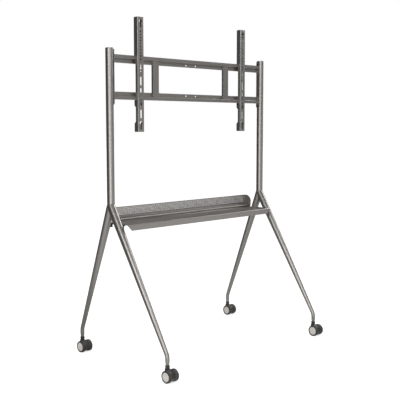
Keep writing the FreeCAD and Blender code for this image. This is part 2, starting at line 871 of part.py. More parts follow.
def make_tray(label):
    body = new_body(label)
    t = D.tray_thickness
    top = TRAY_TOP
    front = -D.tray_front
    ledge = top + D.tray_riser
    back = TRAY_BACK + D.tray_ledge_depth
    rim = ledge + D.tray_back_height
    half = TRAY_HALF - D.tray_back_inset
    floor = new_sketch(body, "YZ")
    draw_outline(floor, [
        (front, top - D.tray_lip), (front, top), (TRAY_BACK + t, top), (TRAY_BACK + t, top - t),
        (front + t, top - t), (front + t, top - D.tray_lip),
    ])
    flat = pad(body, floor, 2 * TRAY_HALF, midplane=True)
    round_edges(
        body, flat, D.tray_lip_cut,
        lambda edge: edge_runs(edge, "y") and is_near(edge.CenterOfMass.z, top - D.tray_lip),
        "PartDesign::Chamfer")
    step = new_sketch(body, "YZ")
    draw_outline(step, [
        (TRAY_BACK, top - t), (TRAY_BACK, ledge), (back - t, ledge), (back - t, rim),
        (back, rim), (back, ledge - t), (TRAY_BACK + t, ledge - t), (TRAY_BACK + t, top - t),
    ])
    pad(body, step, 2 * half, midplane=True)
    cheeks = new_sketch(body, "YZ", -half)
    draw_box(cheeks, TRAY_BACK, back, ledge - t, rim)
    pad(body, cheeks, t)
    cheeks = new_sketch(body, "YZ", half - t)
    draw_box(cheeks, TRAY_BACK, back, ledge - t, rim)
    folded = pad(body, cheeks, t)

    def is_cheek_corner(edge):
        spot = edge.CenterOfMass
        return edge_runs(edge, "x") and edge.Length < 2 * t.value and is_near(
            spot.y, TRAY_BACK) and is_near(spot.z, rim)

    rounded = round_edges(body, folded, D.tray_cheek_radius, is_cheek_corner)
    bends = ((front, top), (TRAY_BACK, ledge))

    def is_bend(edge):
        spot = edge.CenterOfMass
        return edge_runs(edge, "x") and any(
            is_near(spot.y, y) and is_near(spot.z, z) for y, z in bends)

    round_edges(body, rounded, D.tray_bend_radius, is_bend)
    holes = new_sketch(body, "XY", top - t)
    for side in (-1, 1):
        for spot in SCREW_SPOTS:
            draw_circle(holes, side * LUG_SCREW_X, spot,
                        D.screw_diameter + 2 * D.running_clearance)
    pocket(body, holes, 4 * t, midplane=True)
    place(body)


def make_lug(label, side, leg_label, extent, screw_spot):
    """An angle welded to the leg, which carries the tray's floor."""
    inner = side * (TRAY_HALF - D.lug_reach)
    outer = side * (POST_X - POST_RADIUS + D.lug_bite)
    low, high = extent
    web = side * (TRAY_HALF - D.lug_thickness)
    edges = sorted((inner, outer), key=lambda size: size.value)
    shelf = solid_box(label + "_shelf", edges[0], edges[1], low, high,
                      LUG_TOP - D.lug_thickness, LUG_TOP)
    edges = sorted((web, outer), key=lambda size: size.value)
    wall = solid_box(label + "_wall", edges[0], edges[1], low, high,
                     LUG_TOP - D.lug_drop, LUG_TOP)
    angle = fuse_all([shelf, wall])
    hole = solid_cylinder(label + "_hole", (D.screw_diameter + D.bolt_clearance) / 2,
                          4 * D.lug_thickness, side * LUG_SCREW_X, screw_spot,
                          LUG_TOP - 2 * D.lug_thickness)
    drilled = cut_from(angle, hole)
    cut_from(drilled, outer_legs[leg_label], label)


def make_tray_screws(label):
    """Button-head screws from below, through the lugs into the tray's floor."""
    pieces = []
    reach = D.lug_thickness + D.tray_thickness - D.free_gap
    for side in (-1, 1):
        for spot in SCREW_SPOTS:
            screw = button_screw("TrayScrew", "XZ", "V_Axis", 1,
                                 D.screw_head_diameter, D.screw_diameter, reach)
            place(screw, side * LUG_SCREW_X, spot, LUG_TOP - D.lug_thickness)
            pieces.append(screw)
    keep_group("TrayScrews", pieces, label)


# Casters: a stem in the leg, a hood that swivels on it, and two wheels on one axle

AXLE_RADIUS = D.axle_diameter / 2
HOOD_FRONT = -D.caster_trail - D.hood_diameter / 2
PEDAL_PIVOT_Y = HOOD_FRONT + D.pedal_pivot_inset
PEDAL_PIVOT_Z = WHEEL_RADIUS + D.hood_diameter / 2 - D.pedal_pivot_drop
PEDAL_TOP = PEDAL_PIVOT_Z - D.pedal_top_drop
RECESS_Y = HOOD_FRONT + D.pedal_recess


def make_stem(label, x, y):
    body = new_body(label)
    profile = new_sketch(body, "XZ")
    radius = D.stem_diameter / 2
    low = D.leg_end_height - D.stem_depth
    high = D.leg_end_height + D.stem_rise
    bevel = D.small_bevel
    groove = high - D.stem_groove_inset
    draw_outline(profile, [
        (0, low), (radius - bevel, low), (radius, low + bevel), (radius, groove - 2 * bevel),
        (radius - bevel, groove - 2 * bevel), (radius - bevel, groove), (radius, groove),
        (radius, high - 2 * bevel), (radius - 2 * bevel, high), (0, high),
    ])
    revolve(body, profile, "V_Axis")
    place(body, x, y)


def make_hood(label, x, y, has_pedal):
    body = new_body(label)
    axle_z = WHEEL_RADIUS
    neck = D.neck_diameter / 2
    collar = D.collar_diameter / 2
    top = D.leg_end_height - 2 * D.free_gap
    shoulder = D.hood_shoulder
    bevel = D.small_bevel
    disc = new_sketch(body, "YZ")
    draw_circle(disc, -D.caster_trail, axle_z, D.hood_diameter)
    pad(body, disc, D.hood_width, midplane=True)
    column = new_sketch(body, "YZ")
    draw_outline(column, [
        (-D.caster_trail, axle_z), (neck, axle_z), (neck, shoulder + 4 * bevel),
        (-neck, shoulder + 4 * bevel), (-D.caster_trail, axle_z + D.hood_diameter / 2 - bevel),
    ])
    pad(body, column, D.hood_width, midplane=True)
    turned = new_sketch(body, "XZ")
    draw_outline(turned, [
        (0, shoulder), (neck, shoulder), (neck, top - D.collar_height - bevel),
        (collar, top - D.collar_height), (collar, top - bevel), (collar - bevel, top), (0, top),
    ])
    revolve(body, turned, "V_Axis")
    bore = new_sketch(body, "XY", top)
    draw_circle(bore, 0, 0, D.stem_diameter + 2 * D.running_clearance)
    floor = D.leg_end_height - D.stem_depth - D.free_gap
    pocket(body, bore, top - floor)
    axle = new_sketch(body, "YZ")
    draw_circle(axle, -D.caster_trail, axle_z, D.axle_diameter + 2 * D.running_clearance)
    pocket(body, axle, 2 * D.hood_width, midplane=True)
    if has_pedal:
        recess = new_sketch(body, "YZ")
        far = -D.caster_trail - D.hood_diameter
        draw_box(recess, far, RECESS_Y, PEDAL_TOP - D.pedal_height - bevel, PEDAL_TOP + 3 * bevel)
        pocket(body, recess, 2 * D.hood_width, midplane=True)
        slot = new_sketch(body, "YZ")
        draw_box(slot, far, PEDAL_PIVOT_Y + D.pedal_swing_room,
                 PEDAL_TOP - D.pedal_tongue / 2, D.wheel_diameter)
        pocket(body, slot, D.pedal_tongue + bevel, midplane=True)
        pin = new_sketch(body, "YZ")
        draw_circle(pin, PEDAL_PIVOT_Y, PEDAL_PIVOT_Z, D.pedal_pin_diameter)
        pocket(body, pin, 2 * D.hood_width, midplane=True)
    place(body, x, y)


def make_axle(label, x, y):
    """A pin with a rolled head at each end, inside the wheels' hubs."""
    body = new_body(label)
    half = D.wheel_gap / 2 + D.wheel_width - D.axle_inset
    end = half + D.axle_head_length
    head = D.axle_head_diameter / 2
    bevel = D.axle_head_length / 2
    profile = new_sketch(body, "XY")
    draw_outline(profile, [
        (-end, 0), (-end, head - bevel), (bevel - end, head), (-half, head),
        (-half, AXLE_RADIUS), (half, AXLE_RADIUS), (half, head), (end - bevel, head),
        (end, head - bevel), (end, 0),
    ])
    revolve(body, profile, "H_Axis")
    place(body, x, y - D.caster_trail, WHEEL_RADIUS)


def make_wheel(label, x, y, towards):
    """A dished wheel, its hub and web nearer the hood and a seat for the cap outside."""
    body = new_body(label)
    inner = D.wheel_gap / 2
    outer = inner + D.wheel_width
    tread = WHEEL_RADIUS
    rim = tread - D.rim_thickness
    seat = D.hub_cap_diameter / 2 + D.running_clearance
    seat_x = outer - D.hub_cap_depth + D.hub_cap_proud
    disc_x = inner + D.wheel_width / 2 - D.wheel_disc_thickness
    disc_end = disc_x + D.wheel_disc_thickness
    hub_end = outer - D.axle_inset - D.free_gap
    hub = D.hub_diameter / 2
    bore = AXLE_RADIUS + D.running_clearance
    points = [
        (inner - D.hub_standoff, bore), (inner - D.hub_standoff, hub),
        (disc_x, hub), (disc_x, rim), (inner, rim),
        (inner, tread - D.tread_bevel), (inner + D.tread_bevel, tread),
        (outer - D.tread_bevel, tread), (outer, tread - D.tread_bevel), (outer, seat),
        (seat_x, seat), (seat_x, rim), (disc_end, rim), (disc_end, hub),
        (hub_end, hub), (hub_end, bore),
    ]
    profile = new_sketch(body, "XY")
    draw_outline(profile, [(towards * along, radius) for along, radius in points])
    revolve(body, profile, "H_Axis")
    place(body, x, y - D.caster_trail, WHEEL_RADIUS)


def make_hub_cap(label, x, y, towards):
    """A shallow dished disc snapped into the wheel's face."""
    body = new_body(label)
    outer = D.wheel_gap / 2 + D.wheel_width
    back = outer - D.hub_cap_depth + D.hub_cap_proud
    face = back + D.hub_cap_depth
    edge = D.hub_cap_diameter / 2
    dish = D.hub_cap_diameter / 3
    points = [
        (back, 0), (back, edge), (face - D.small_bevel, edge), (face, edge - D.small_bevel),
        (face, dish + D.small_bevel), (face - D.hub_cap_dish, dish), (face - D.hub_cap_dish, 0),
    ]
    profile = new_sketch(body, "XY")
    draw_outline(profile, [(towards * along, radius) for along, radius in points])
    revolve(body, profile, "H_Axis")
    place(body, x, y - D.caster_trail, WHEEL_RADIUS)


def make_pedal(label, x, y):
    """A lever between the wheels, flush with the treads, on a pin near its top."""
    middle = D.pedal_width / 2
    axle_y = y - D.caster_trail
    arc = solid_cylinder(label + "_arc", D.pedal_arc_diameter / 2, D.pedal_width,
                         x - middle, axle_y, WHEEL_RADIUS, ALONG_X)
    front = y - D.caster_trail - D.hood_diameter
    window = solid_box(label + "_window", x - D.pedal_width, x + D.pedal_width,
                       front, y + RECESS_Y - 2 * D.free_gap, PEDAL_TOP - D.pedal_height, PEDAL_TOP)
    shoe = common_of(arc, window)
    tongue = D.pedal_tongue / 2
    pivot_y = y + PEDAL_PIVOT_Y
    link = solid_box(label + "_link", x - tongue, x + tongue, pivot_y - 1.5 * tongue,
                     pivot_y + tongue / 4, PEDAL_TOP - tongue / 2, PEDAL_PIVOT_Z)
    barrel = solid_cylinder(label + "_barrel", tongue, D.pedal_tongue,
                            x - tongue, pivot_y, PEDAL_PIVOT_Z, ALONG_X)
    lever = fuse_all([shoe, link, barrel])
    pin = solid_cylinder(label + "_pinhole", D.pedal_pin_diameter / 2 + D.running_clearance,
                         2 * D.pedal_width, x - D.pedal_width, pivot_y, PEDAL_PIVOT_Z, ALONG_X)
    size = D.pedal_notch
    notch = solid_box(label + "_notch", x - size / 2, x + size / 2, front,
                      axle_y - D.pedal_arc_diameter / 2 + size, WHEEL_RADIUS - size,
                      WHEEL_RADIUS + size)
    cut_from(lever, fuse_all([pin, notch]), label)


def make_pedal_pin(label, x, y):
    length = D.hood_width
    keep(solid_cylinder(label, D.pedal_pin_diameter / 2, length, x - length / 2,
                        y + PEDAL_PIVOT_Y, PEDAL_PIVOT_Z, ALONG_X), label)


def make_caster(corner, x, y, has_pedal):
    make_stem("stem_" + corner, x, y)
    make_hood("hood_" + corner, x, y, has_pedal)
    make_axle("axle_" + corner, x, y)
    for hand, towards in SIDES:
        make_wheel("wheel_" + corner + "_" + hand, x, y, towards)
        make_hub_cap("hub_cap_" + corner + "_" + hand, x, y, towards)
    if has_pedal:
        make_pedal("brake_pedal_" + corner, x, y)
        make_pedal_pin("pedal_pin_" + corner, x, y)


ENDS = (
    ("front", -1, D.front_reach, D.rear_reach, FRONT_LUG, SCREW_SPOTS[0]),
    ("rear", 1, D.rear_reach, D.front_reach, REAR_LUG, SCREW_SPOTS[1]),
)

for hand, side in SIDES:
    make_post("post_" + hand, side)
    make_post_cap("post_cap_" + hand, side)
    make_end_plate("end_plate_" + hand, side)
    make_stile("stile_" + hand, side)
    make_arm("tv_arm_" + hand, side)
    make_arm_lock_bolt("arm_lock_bolt_" + hand, side)
    for end, lean, reach, other_reach, extent, screw_spot in ENDS:
        make_leg(end + "_leg_" + hand, side, lean, reach, other_reach)
        make_lug("tray_lug_" + end + "_" + hand, side, end + "_leg_" + hand,
                 extent, screw_spot)
        make_caster(end + "_" + hand, side * POST_X, lean * reach, end == "front")

make_rail("upper_rail", UPPER_RAIL_TOP, -1)
make_rail("lower_rail", LOWER_RAIL_FOOT, 1)
make_carrier_bolts("carrier_bolts")
make_tray("tray")
make_tray_screws("tray_screws")

doc.recompute()

for item in doc.Objects:
    if "Invalid" in item.State or "Error" in item.State:
        raise ValueError(item.Name + " failed: " + str(item.State))

os.makedirs("parts", exist_ok=True)
for item in all_parts:
    shape = item.Shape
    if shape.isNull() or not shape.isValid() or not shape.Solids:
        raise ValueError(item.Label + " has no valid solid")
    print(item.Label, len(shape.Solids), "solid(s),", round(shape.Volume / 1000, 2), "cm3")
for item in all_parts:
    item.Shape.exportStep(os.path.join("parts", item.Label + ".step"))
print(len(all_parts), "parts written")
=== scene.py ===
import json
import math

import bpy
import bmesh
from mathutils import Matrix, Vector


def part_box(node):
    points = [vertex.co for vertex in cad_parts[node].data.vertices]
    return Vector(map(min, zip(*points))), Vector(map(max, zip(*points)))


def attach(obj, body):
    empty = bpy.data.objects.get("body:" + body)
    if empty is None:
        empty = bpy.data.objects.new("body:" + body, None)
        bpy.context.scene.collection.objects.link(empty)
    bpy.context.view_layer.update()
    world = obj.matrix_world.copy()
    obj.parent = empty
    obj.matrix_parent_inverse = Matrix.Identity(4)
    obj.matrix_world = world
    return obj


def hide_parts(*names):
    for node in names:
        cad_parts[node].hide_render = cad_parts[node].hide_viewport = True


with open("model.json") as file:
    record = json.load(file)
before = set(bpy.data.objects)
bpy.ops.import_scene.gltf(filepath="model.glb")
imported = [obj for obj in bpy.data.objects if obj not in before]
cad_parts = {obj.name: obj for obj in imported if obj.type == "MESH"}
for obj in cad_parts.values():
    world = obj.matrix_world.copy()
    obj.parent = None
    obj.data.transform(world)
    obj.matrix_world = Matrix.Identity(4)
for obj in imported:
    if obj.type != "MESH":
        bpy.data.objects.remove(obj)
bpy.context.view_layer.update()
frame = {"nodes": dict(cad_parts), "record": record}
print("frame loaded:", len(frame["nodes"]), "nodes")

postPlaneY = sum(corner[1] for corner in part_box("post_left")) / 2


# Camera at the photograph's place, found from its vanishing points
cameraLook = {
    "place": (-2.991, postPlaneY - 3.106, 1.261),
    "direction": (0.6976, 0.7094, -0.1005),
    "lens": 67.43,
    "sensor": 36.0,
}

cameraData = bpy.data.cameras.new("camera")
cameraData.lens = cameraLook["lens"]
cameraData.sensor_width = cameraLook["sensor"]
camera = bpy.data.objects.new("camera", cameraData)
bpy.context.collection.objects.link(camera)
camera.location = cameraLook["place"]
camera.rotation_mode = "QUATERNION"
camera.rotation_quaternion = Vector(cameraLook["direction"]).to_track_quat("-Z", "Y")
bpy.context.scene.camera = camera
bpy.context.scene.view_settings.view_transform = "Standard"


# Node helpers, each adds its nodes to a tree and returns their output
def noiseAt(tree, place, scale, detail):
    noise = tree.nodes.new("ShaderNodeTexNoise")
    noise.inputs["Scale"].default_value = scale
    noise.inputs["Detail"].default_value = detail
    tree.links.new(place, noise.inputs["Vector"])
    return noise.outputs["Fac"]


def rampBetween(tree, source, low, high, start, end):
    ramp = tree.nodes.new("ShaderNodeValToRGB")
    for element, position, colour in zip(ramp.color_ramp.elements, (start, end), (low, high)):
        element.position = position
        element.color = (*colour, 1)
    tree.links.new(source, ramp.inputs[0])
    return ramp.outputs["Color"]


def levelBetween(tree, source, low, high):
    level = tree.nodes.new("ShaderNodeMapRange")
    level.inputs["To Min"].default_value = low
    level.inputs["To Max"].default_value = high
    tree.links.new(source, level.inputs["Value"])
    return level.outputs["Result"]


def bumpFrom(tree, source, strength, distance):
    bump = tree.nodes.new("ShaderNodeBump")
    bump.inputs["Strength"].default_value = strength
    bump.inputs["Distance"].default_value = distance
    tree.links.new(source, bump.inputs["Height"])
    return bump.outputs["Normal"]


def seenDirectly(tree):
    # 1 for the camera, mirrors and glass, 0 for soft light
    path = tree.nodes.new("ShaderNodeLightPath")
    seen = path.outputs["Is Camera Ray"]
    for ray in ("Is Transmission Ray", "Is Glossy Ray"):
        either = tree.nodes.new("ShaderNodeMath")
        either.operation = "MAXIMUM"
        tree.links.new(seen, either.inputs[0])
        tree.links.new(path.outputs[ray], either.inputs[1])
        seen = either.outputs[0]
    return seen


# Studio: a white room, soft lamps, and a ring of cards that only reflections see
studio = {
    "floorSize": 60.0,
    "floorColour": (0.92, 0.92, 0.92),
    "floorRoughness": 0.9,
    "floorGloss": 0.1,
    "floorLift": 0.62,         # glow that directly seen floor gets on top
    "roomLevel": 0.5,          # what the room sheds as soft light, where it looks white
    "aim": (0.0, 0.1, 0.95),
    "lamps": [
        # name, place, size across and up, watts
        ("keyLamp", (-3.2, -2.5, 3.6), (1.7, 3.0), 66.0),
        ("stripLamp", (-3.9, -3.1, 1.15), (1.9, 1.7), 27.0),
        ("fillLamp", (3.6, -2.4, 3.2), (2.2, 2.2), 26.0),
    ],
    "ringRadius": 3.6,
    "ringHeights": (0.0, 1.2, 2.4, 4.2),
    "cards": [
        # name, from and to in degrees clockwise from the back, levels low, middle, high
        ("backCard", -7.5, 22.5, (0.0, 0.0, 4.0)),
        ("backRightCard", 22.5, 67.5, (0.15, 0.15, 0.15)),
        ("rightCard", 67.5, 112.5, (0.21, 0.75, 7.0)),
        ("frontRightCard", 112.5, 127.5, (0.70, 0.18, 3.9)),
        ("frontCard", 127.5, 157.5, (1.60, 0.38, 0.5)),
        ("frontMiddleCard", 157.5, 187.5, (0.67, 0.10, 3.9)),
        ("frontLeftCard", 187.5, 217.5, (1.65, 2.40, 3.3)),
        ("cameraCard", 217.5, 232.5, (5.6, 0.0, 4.6)),
        ("keyCard", 232.5, 247.5, (4.0, 5.30, 8.2)),
        ("leftCard", 247.5, 262.5, (1.98, 1.30, 4.2)),
        ("shadeCard", 262.5, 307.5, (0.05, 0.08, 0.05)),
        ("farShadeCard", 307.5, 352.5, (0.12, 0.14, 0.12)),
    ],
    "roof": [
        # name, from and to in degrees, level
        ("backRoof", -22.5, 82.5, 2.1),
        ("sideRoof", 82.5, 337.5, 0.0),
    ],
    "roofHeights": (4.2, 5.4),
    "roofRadius": 1.66,
    "topLevel": 2.6,
    "floorCards": [
        # name, from and to in degrees, level
        ("floorFrontCard", -10.0, 217.0, 0.95),
        ("floorKeyCard", 217.0, 262.0, 1.3),
        ("floorShadeCard", 262.0, 350.0, 0.60),
    ],
    "floorCardHeight": 0.002,
    "middleRadius": 0.01,      # pinhole in the middle of the top and floor cards
    "cardStep": 7.5,           # degrees from one fold of a card to the next
}


def addLamp(name, place, size, watts):
    light = bpy.data.lights.new(name, "AREA")
    light.shape = "RECTANGLE"
    light.size, light.size_y = size
    light.energy = watts
    lamp = bpy.data.objects.new(name, light)
    bpy.context.collection.objects.link(lamp)
    lamp.location = place
    lamp.rotation_euler = (Vector(studio["aim"]) - Vector(place)).to_track_quat("-Z", "Y").to_euler()
    lamp.visible_camera = False
    lamp.visible_glossy = False


def addCard(name, start, end, lowRim, highRim, level):
    # a glowing strip round the stand between two rims, each a radius and a height
    steps = max(1, round((end - start) / studio["cardStep"]))
    corners = []
    for i in range(steps + 1):
        turn = math.radians(start + (end - start) * i / steps)
        for radius, height in (lowRim, highRim):
            corners.append((radius * math.sin(turn), radius * math.cos(turn), height))
    mesh = bpy.data.meshes.new(name)
    mesh.from_pydata(corners, [], [(i, i + 1, i + 3, i + 2) for i in range(0, 2 * steps, 2)])
    card = bpy.data.objects.new(name, mesh)
    bpy.context.collection.objects.link(card)
    paint = bpy.data.materials.new(name + "Paint")
    paint.use_nodes = True
    tree = paint.node_tree
    tree.nodes.clear()
    glow = tree.nodes.new("ShaderNodeEmission")
    glow.inputs["Strength"].default_value = level
    out = tree.nodes.new("ShaderNodeOutputMaterial")
    tree.links.new(glow.outputs[0], out.inputs["Surface"])
    mesh.materials.append(paint)
    for ray in ("camera", "diffuse", "shadow", "transmission"):
        setattr(card, "visible_" + ray, False)


def addCards():
    ringRadius, ringHeights = studio["ringRadius"], studio["ringHeights"]
    for name, start, end, levels in studio["cards"]:
        for part, low, high, level in zip(("Low", "Middle", "High"), ringHeights, ringHeights[1:], levels):
            addCard(name + part, start, end, (ringRadius, low), (ringRadius, high), level)
    roofLow, roofHigh = studio["roofHeights"]
    roofRim = (studio["roofRadius"], roofHigh)
    for name, start, end, level in studio["roof"]:
        addCard(name, start, end, (ringRadius, roofLow), roofRim, level)
    addCard("topCard", 0, 360, (studio["middleRadius"], roofHigh), roofRim, studio["topLevel"])
    height = studio["floorCardHeight"]
    for name, start, end, level in studio["floorCards"]:
        addCard(name, start, end, (studio["middleRadius"], height), (ringRadius, height), level)


def makeRoom():
    world = bpy.data.worlds.new("room")
    bpy.context.scene.world = world
    world.use_nodes = True
    tree = world.node_tree
    tree.nodes.clear()
    glow = tree.nodes.new("ShaderNodeBackground")
    glow.inputs["Color"].default_value = (1, 1, 1, 1)
    level = levelBetween(tree, seenDirectly(tree), studio["roomLevel"], 1.0)
    tree.links.new(level, glow.inputs["Strength"])
    out = tree.nodes.new("ShaderNodeOutputWorld")
    tree.links.new(glow.outputs[0], out.inputs[0])


def makeFloor():
    bpy.ops.mesh.primitive_plane_add(size=studio["floorSize"], location=(0, 0, 0))
    floor = bpy.context.object
    floor.name = "floor"
    paint = bpy.data.materials.new("floorPaint")
    paint.use_nodes = True
    tree = paint.node_tree
    shader = tree.nodes["Principled BSDF"]
    shader.inputs["Base Color"].default_value = (*studio["floorColour"], 1)
    shader.inputs["Roughness"].default_value = studio["floorRoughness"]
    shader.inputs["Specular IOR Level"].default_value = studio["floorGloss"]
    shader.inputs["Emission Color"].default_value = (1, 1, 1, 1)
    lift = levelBetween(tree, seenDirectly(tree), 0.0, studio["floorLift"])
    tree.links.new(lift, shader.inputs["Emission Strength"])
    floor.data.materials.append(paint)


for lampEntry in studio["lamps"]:
    addLamp(*lampEntry)
addCards()
makeRoom()
makeFloor()
print("studio ready")


# Finishes, one for each material slot, with their patterns on object coordinates
finishLooks = {
    "grey_paint": {
        "name": "greyMetallicPaint",
        "colours": ((0.202, 0.193, 0.181), (0.222, 0.212, 0.199)),
        "colourRange": (0.35, 0.65),     # where along the noise the colours run into each other
        "colourGrain": (900.0, 1.0),     # scale and detail of the noise
        "roughness": (0.33, 0.37),
        "roughnessGrain": (14.0, 3.0),
        "metallic": 0.90,
        "bumpGrain": (220.0, 2.0),
        "bump": (0.5, 0.000008),         # strength and depth
    },
    "black_steel": {
        "name": "blackOxide",
        "colours": ((0.012, 0.012, 0.012), (0.03, 0.029, 0.028)),
        "colourRange": (0.0, 1.0),
        "colourGrain": (220.0, 3.0),
        "roughness": (0.32, 0.48),
        "roughnessGrain": (220.0, 3.0),
        "metallic": 0.6,
    },
    "bare_steel": {
        "name": "zincPlate",
        "colours": ((0.52, 0.52, 0.50), (0.66, 0.66, 0.65)),
        "colourRange": (0.0, 1.0),
        "colourGrain": (160.0, 3.0),
        "roughness": (0.25, 0.4),
        "roughnessGrain": (160.0, 3.0),
        "metallic": 1.0,
    },
    "black_plastic": {
        "name": "mouldedNylon",
        "colours": ((0.0115, 0.0102, 0.0088), (0.0165, 0.0148, 0.0130)),
        "colourRange": (0.0, 1.0),
        "colourGrain": (60.0, 3.0),
        "roughness": (0.46, 0.58),
        "roughnessGrain": (60.0, 3.0),
        "metallic": 0.0,
        "bumpGrain": (1500.0, 2.0),
        "bump": (0.25, 0.0004),
    },
    "wheel_plastic": {
        "name": "polyurethaneTread",
        "colours": ((0.0130, 0.0116, 0.0100), (0.0190, 0.0172, 0.0150)),
        "colourRange": (0.0, 1.0),
        "colourGrain": (60.0, 3.0),
        "roughness": (0.48, 0.62),
        "roughnessGrain": (60.0, 3.0),
        "metallic": 0.0,
        "bumpGrain": (1100.0, 2.0),
        "bump": (0.25, 0.0005),
    },
    "cap_plastic": {
        "name": "paleCapPlastic",
        "colours": ((0.65, 0.61, 0.565), (0.70, 0.66, 0.61)),
        "colourRange": (0.0, 1.0),
        "colourGrain": (60.0, 3.0),
        "roughness": (0.3, 0.4),
        "roughnessGrain": (60.0, 3.0),
        "metallic": 0.0,
        "bumpGrain": (1800.0, 2.0),
        "bump": (0.25, 0.0002),
    },
}


def makeFinish(look):
    material = bpy.data.materials.new(look["name"])
    material.use_nodes = True
    tree = material.node_tree
    shader = tree.nodes["Principled BSDF"]
    place = tree.nodes.new("ShaderNodeTexCoord").outputs["Object"]
    speckle = noiseAt(tree, place, *look["colourGrain"])
    colour = rampBetween(tree, speckle, *look["colours"], *look["colourRange"])
    tree.links.new(colour, shader.inputs["Base Color"])
    clouds = noiseAt(tree, place, *look["roughnessGrain"])
    tree.links.new(levelBetween(tree, clouds, *look["roughness"]), shader.inputs["Roughness"])
    shader.inputs["Metallic"].default_value = look["metallic"]
    if "bump" in look:
        grain = noiseAt(tree, place, *look["bumpGrain"])
        tree.links.new(bumpFrom(tree, grain, *look["bump"]), shader.inputs["Normal"])
    return material


finishes = {slotName: makeFinish(look) for slotName, look in finishLooks.items()}
slotOf = {entry["node"]: entry["material_slot"] for entry in frame["record"]["subparts"]}
bodyOf = {node: body for body, group in frame["record"]["behaviour"]["bodies"].items() for node in group}
for nodeName, nodeObject in frame["nodes"].items():
    nodeObject.data.materials.clear()
    nodeObject.data.materials.append(finishes[slotOf[nodeName]])
print("finishes on all", len(slotOf), "frame nodes")


# Modelling helpers
def makeActive(piece):
    bpy.ops.object.select_all(action="DESELECT")
    piece.select_set(True)
    bpy.context.view_layer.objects.active = piece


def applyModifier(piece, modifier):
    makeActive(piece)
    bpy.ops.object.modifier_apply(modifier=modifier.name)


def nameNewest(name):
    # the primitive just added gets its name, and its place and size go into its mesh
    piece = bpy.context.object
    piece.name = piece.data.name = name
    bpy.ops.object.transform_apply(location=True, rotation=True, scale=True)
    return piece


def startEditing():
    bpy.ops.object.mode_set(mode="EDIT")


def leaveEditing():
    bpy.ops.object.mode_set(mode="OBJECT")


def pick(piece, kind, wanted):
    bpy.ops.mesh.select_mode(type=kind)
    bpy.ops.mesh.select_all(action="DESELECT")
    mesh = bmesh.from_edit_mesh(piece.data)
    items = {"VERT": mesh.verts, "EDGE": mesh.edges}[kind]
    for item in items:
        if wanted(item):
            item.select_set(True)
    bmesh.update_edit_mesh(piece.data)


samePlace = 0.000001  # how near counts as one point
onPlane = 0.00001     # how near counts as on a plane
nearPlane = 0.0001    # the same after a long row of copies


def edgeLies(edge, axis, place, reach=onPlane):
    # both ends of the edge at one place along the axis
    return all(abs(corner.co[axis] - place) < reach for corner in edge.verts)


def startPlane(name, x, y, z):
    # a flat sheet between two x, two y at one z, left in edit mode
    bpy.ops.mesh.primitive_plane_add(size=1, location=(sum(x) / 2, sum(y) / 2, z))
    bpy.context.object.scale = (x[1] - x[0], y[1] - y[0], 1)
    piece = nameNewest(name)
    startEditing()
    return piece


def extrudeEdges(step):
    bpy.ops.mesh.extrude_edges_move(TRANSFORM_OT_translate={"value": step})


def cutAt(place, normal):
    bpy.ops.mesh.select_all(action="SELECT")
    bpy.ops.mesh.bisect(plane_co=place, plane_no=normal)


def trimAt(place, normal):
    # cuts away what lies beyond the plane, and closes the cut
    bpy.ops.mesh.select_all(action="SELECT")
    bpy.ops.mesh.bisect(plane_co=place, plane_no=normal, clear_outer=True, use_fill=True)


def roundPicked(offset, segments, affect="EDGES"):
    bpy.ops.mesh.bevel(offset=offset, affect=affect, segments=segments, profile=0.5)


def tidyMesh():
    # merges what meets, turns all faces outwards and leaves edit mode
    bpy.ops.mesh.select_all(action="SELECT")
    bpy.ops.mesh.remove_doubles(threshold=samePlace)
    bpy.ops.mesh.normals_make_consistent(inside=False)
    leaveEditing()


def giveThickness(piece, thickness):
    wall = piece.modifiers.new("wall", "SOLIDIFY")
    wall.thickness = thickness
    wall.offset = -1.0
    applyModifier(piece, wall)


def smoothOver(piece, degrees):
    makeActive(piece)
    bpy.ops.object.shade_smooth_by_angle(angle=math.radians(degrees))


def drawLine(name, points):
    # a line of points, started from a small plane merged to one point, left in edit mode
    bpy.ops.mesh.primitive_plane_add(size=0.001, location=points[0])
    piece = nameNewest(name)
    startEditing()
    bpy.ops.mesh.select_mode(type="VERT")
    bpy.ops.mesh.select_all(action="SELECT")
    bpy.ops.mesh.merge(type="CENTER")
    for before, after in zip(points, points[1:]):
        step = Vector(after) - Vector(before)
        bpy.ops.mesh.extrude_vertices_move(TRANSFORM_OT_translate={"value": step})
    return piece


def turnOnLathe(name, points, centre, axis, steps):
    piece = drawLine(name, points)
    bpy.ops.mesh.select_all(action="SELECT")
    bpy.ops.mesh.spin(steps=steps, angle=2 * math.pi, center=centre, axis=axis)
    tidyMesh()
    return piece


def copyTo(piece, name, shift, mirrorAt=None):
    # a copy with its own mesh, moved by shift, or mirrored across the plane x = mirrorAt first
    twin = piece.copy()
    twin.data = piece.data.copy()
    twin.name = twin.data.name = name
    bpy.context.collection.objects.link(twin)
    move = Matrix.Translation(Vector(shift))
    if mirrorAt is not None:
        move = move @ Matrix.Translation((2 * mirrorAt, 0, 0)) @ Matrix.Scale(-1, 4, (1, 0, 0))
    twin.data.transform(move)
    if mirrorAt is not None:
        twin.data.flip_normals()
    return twin


def middleOf(node):
    low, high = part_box(node)
    return [(low[axis] + high[axis]) / 2 for axis in range(3)]


def settle(piece, body, slotName, *stoodFor):
    # hands a finished piece to its body, its finish and the nodes it stands for
    piece.data.materials.clear()
    piece.data.materials.append(finishes[slotName])
    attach(piece, body)
    if stoodFor:
        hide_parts(*stoodFor)


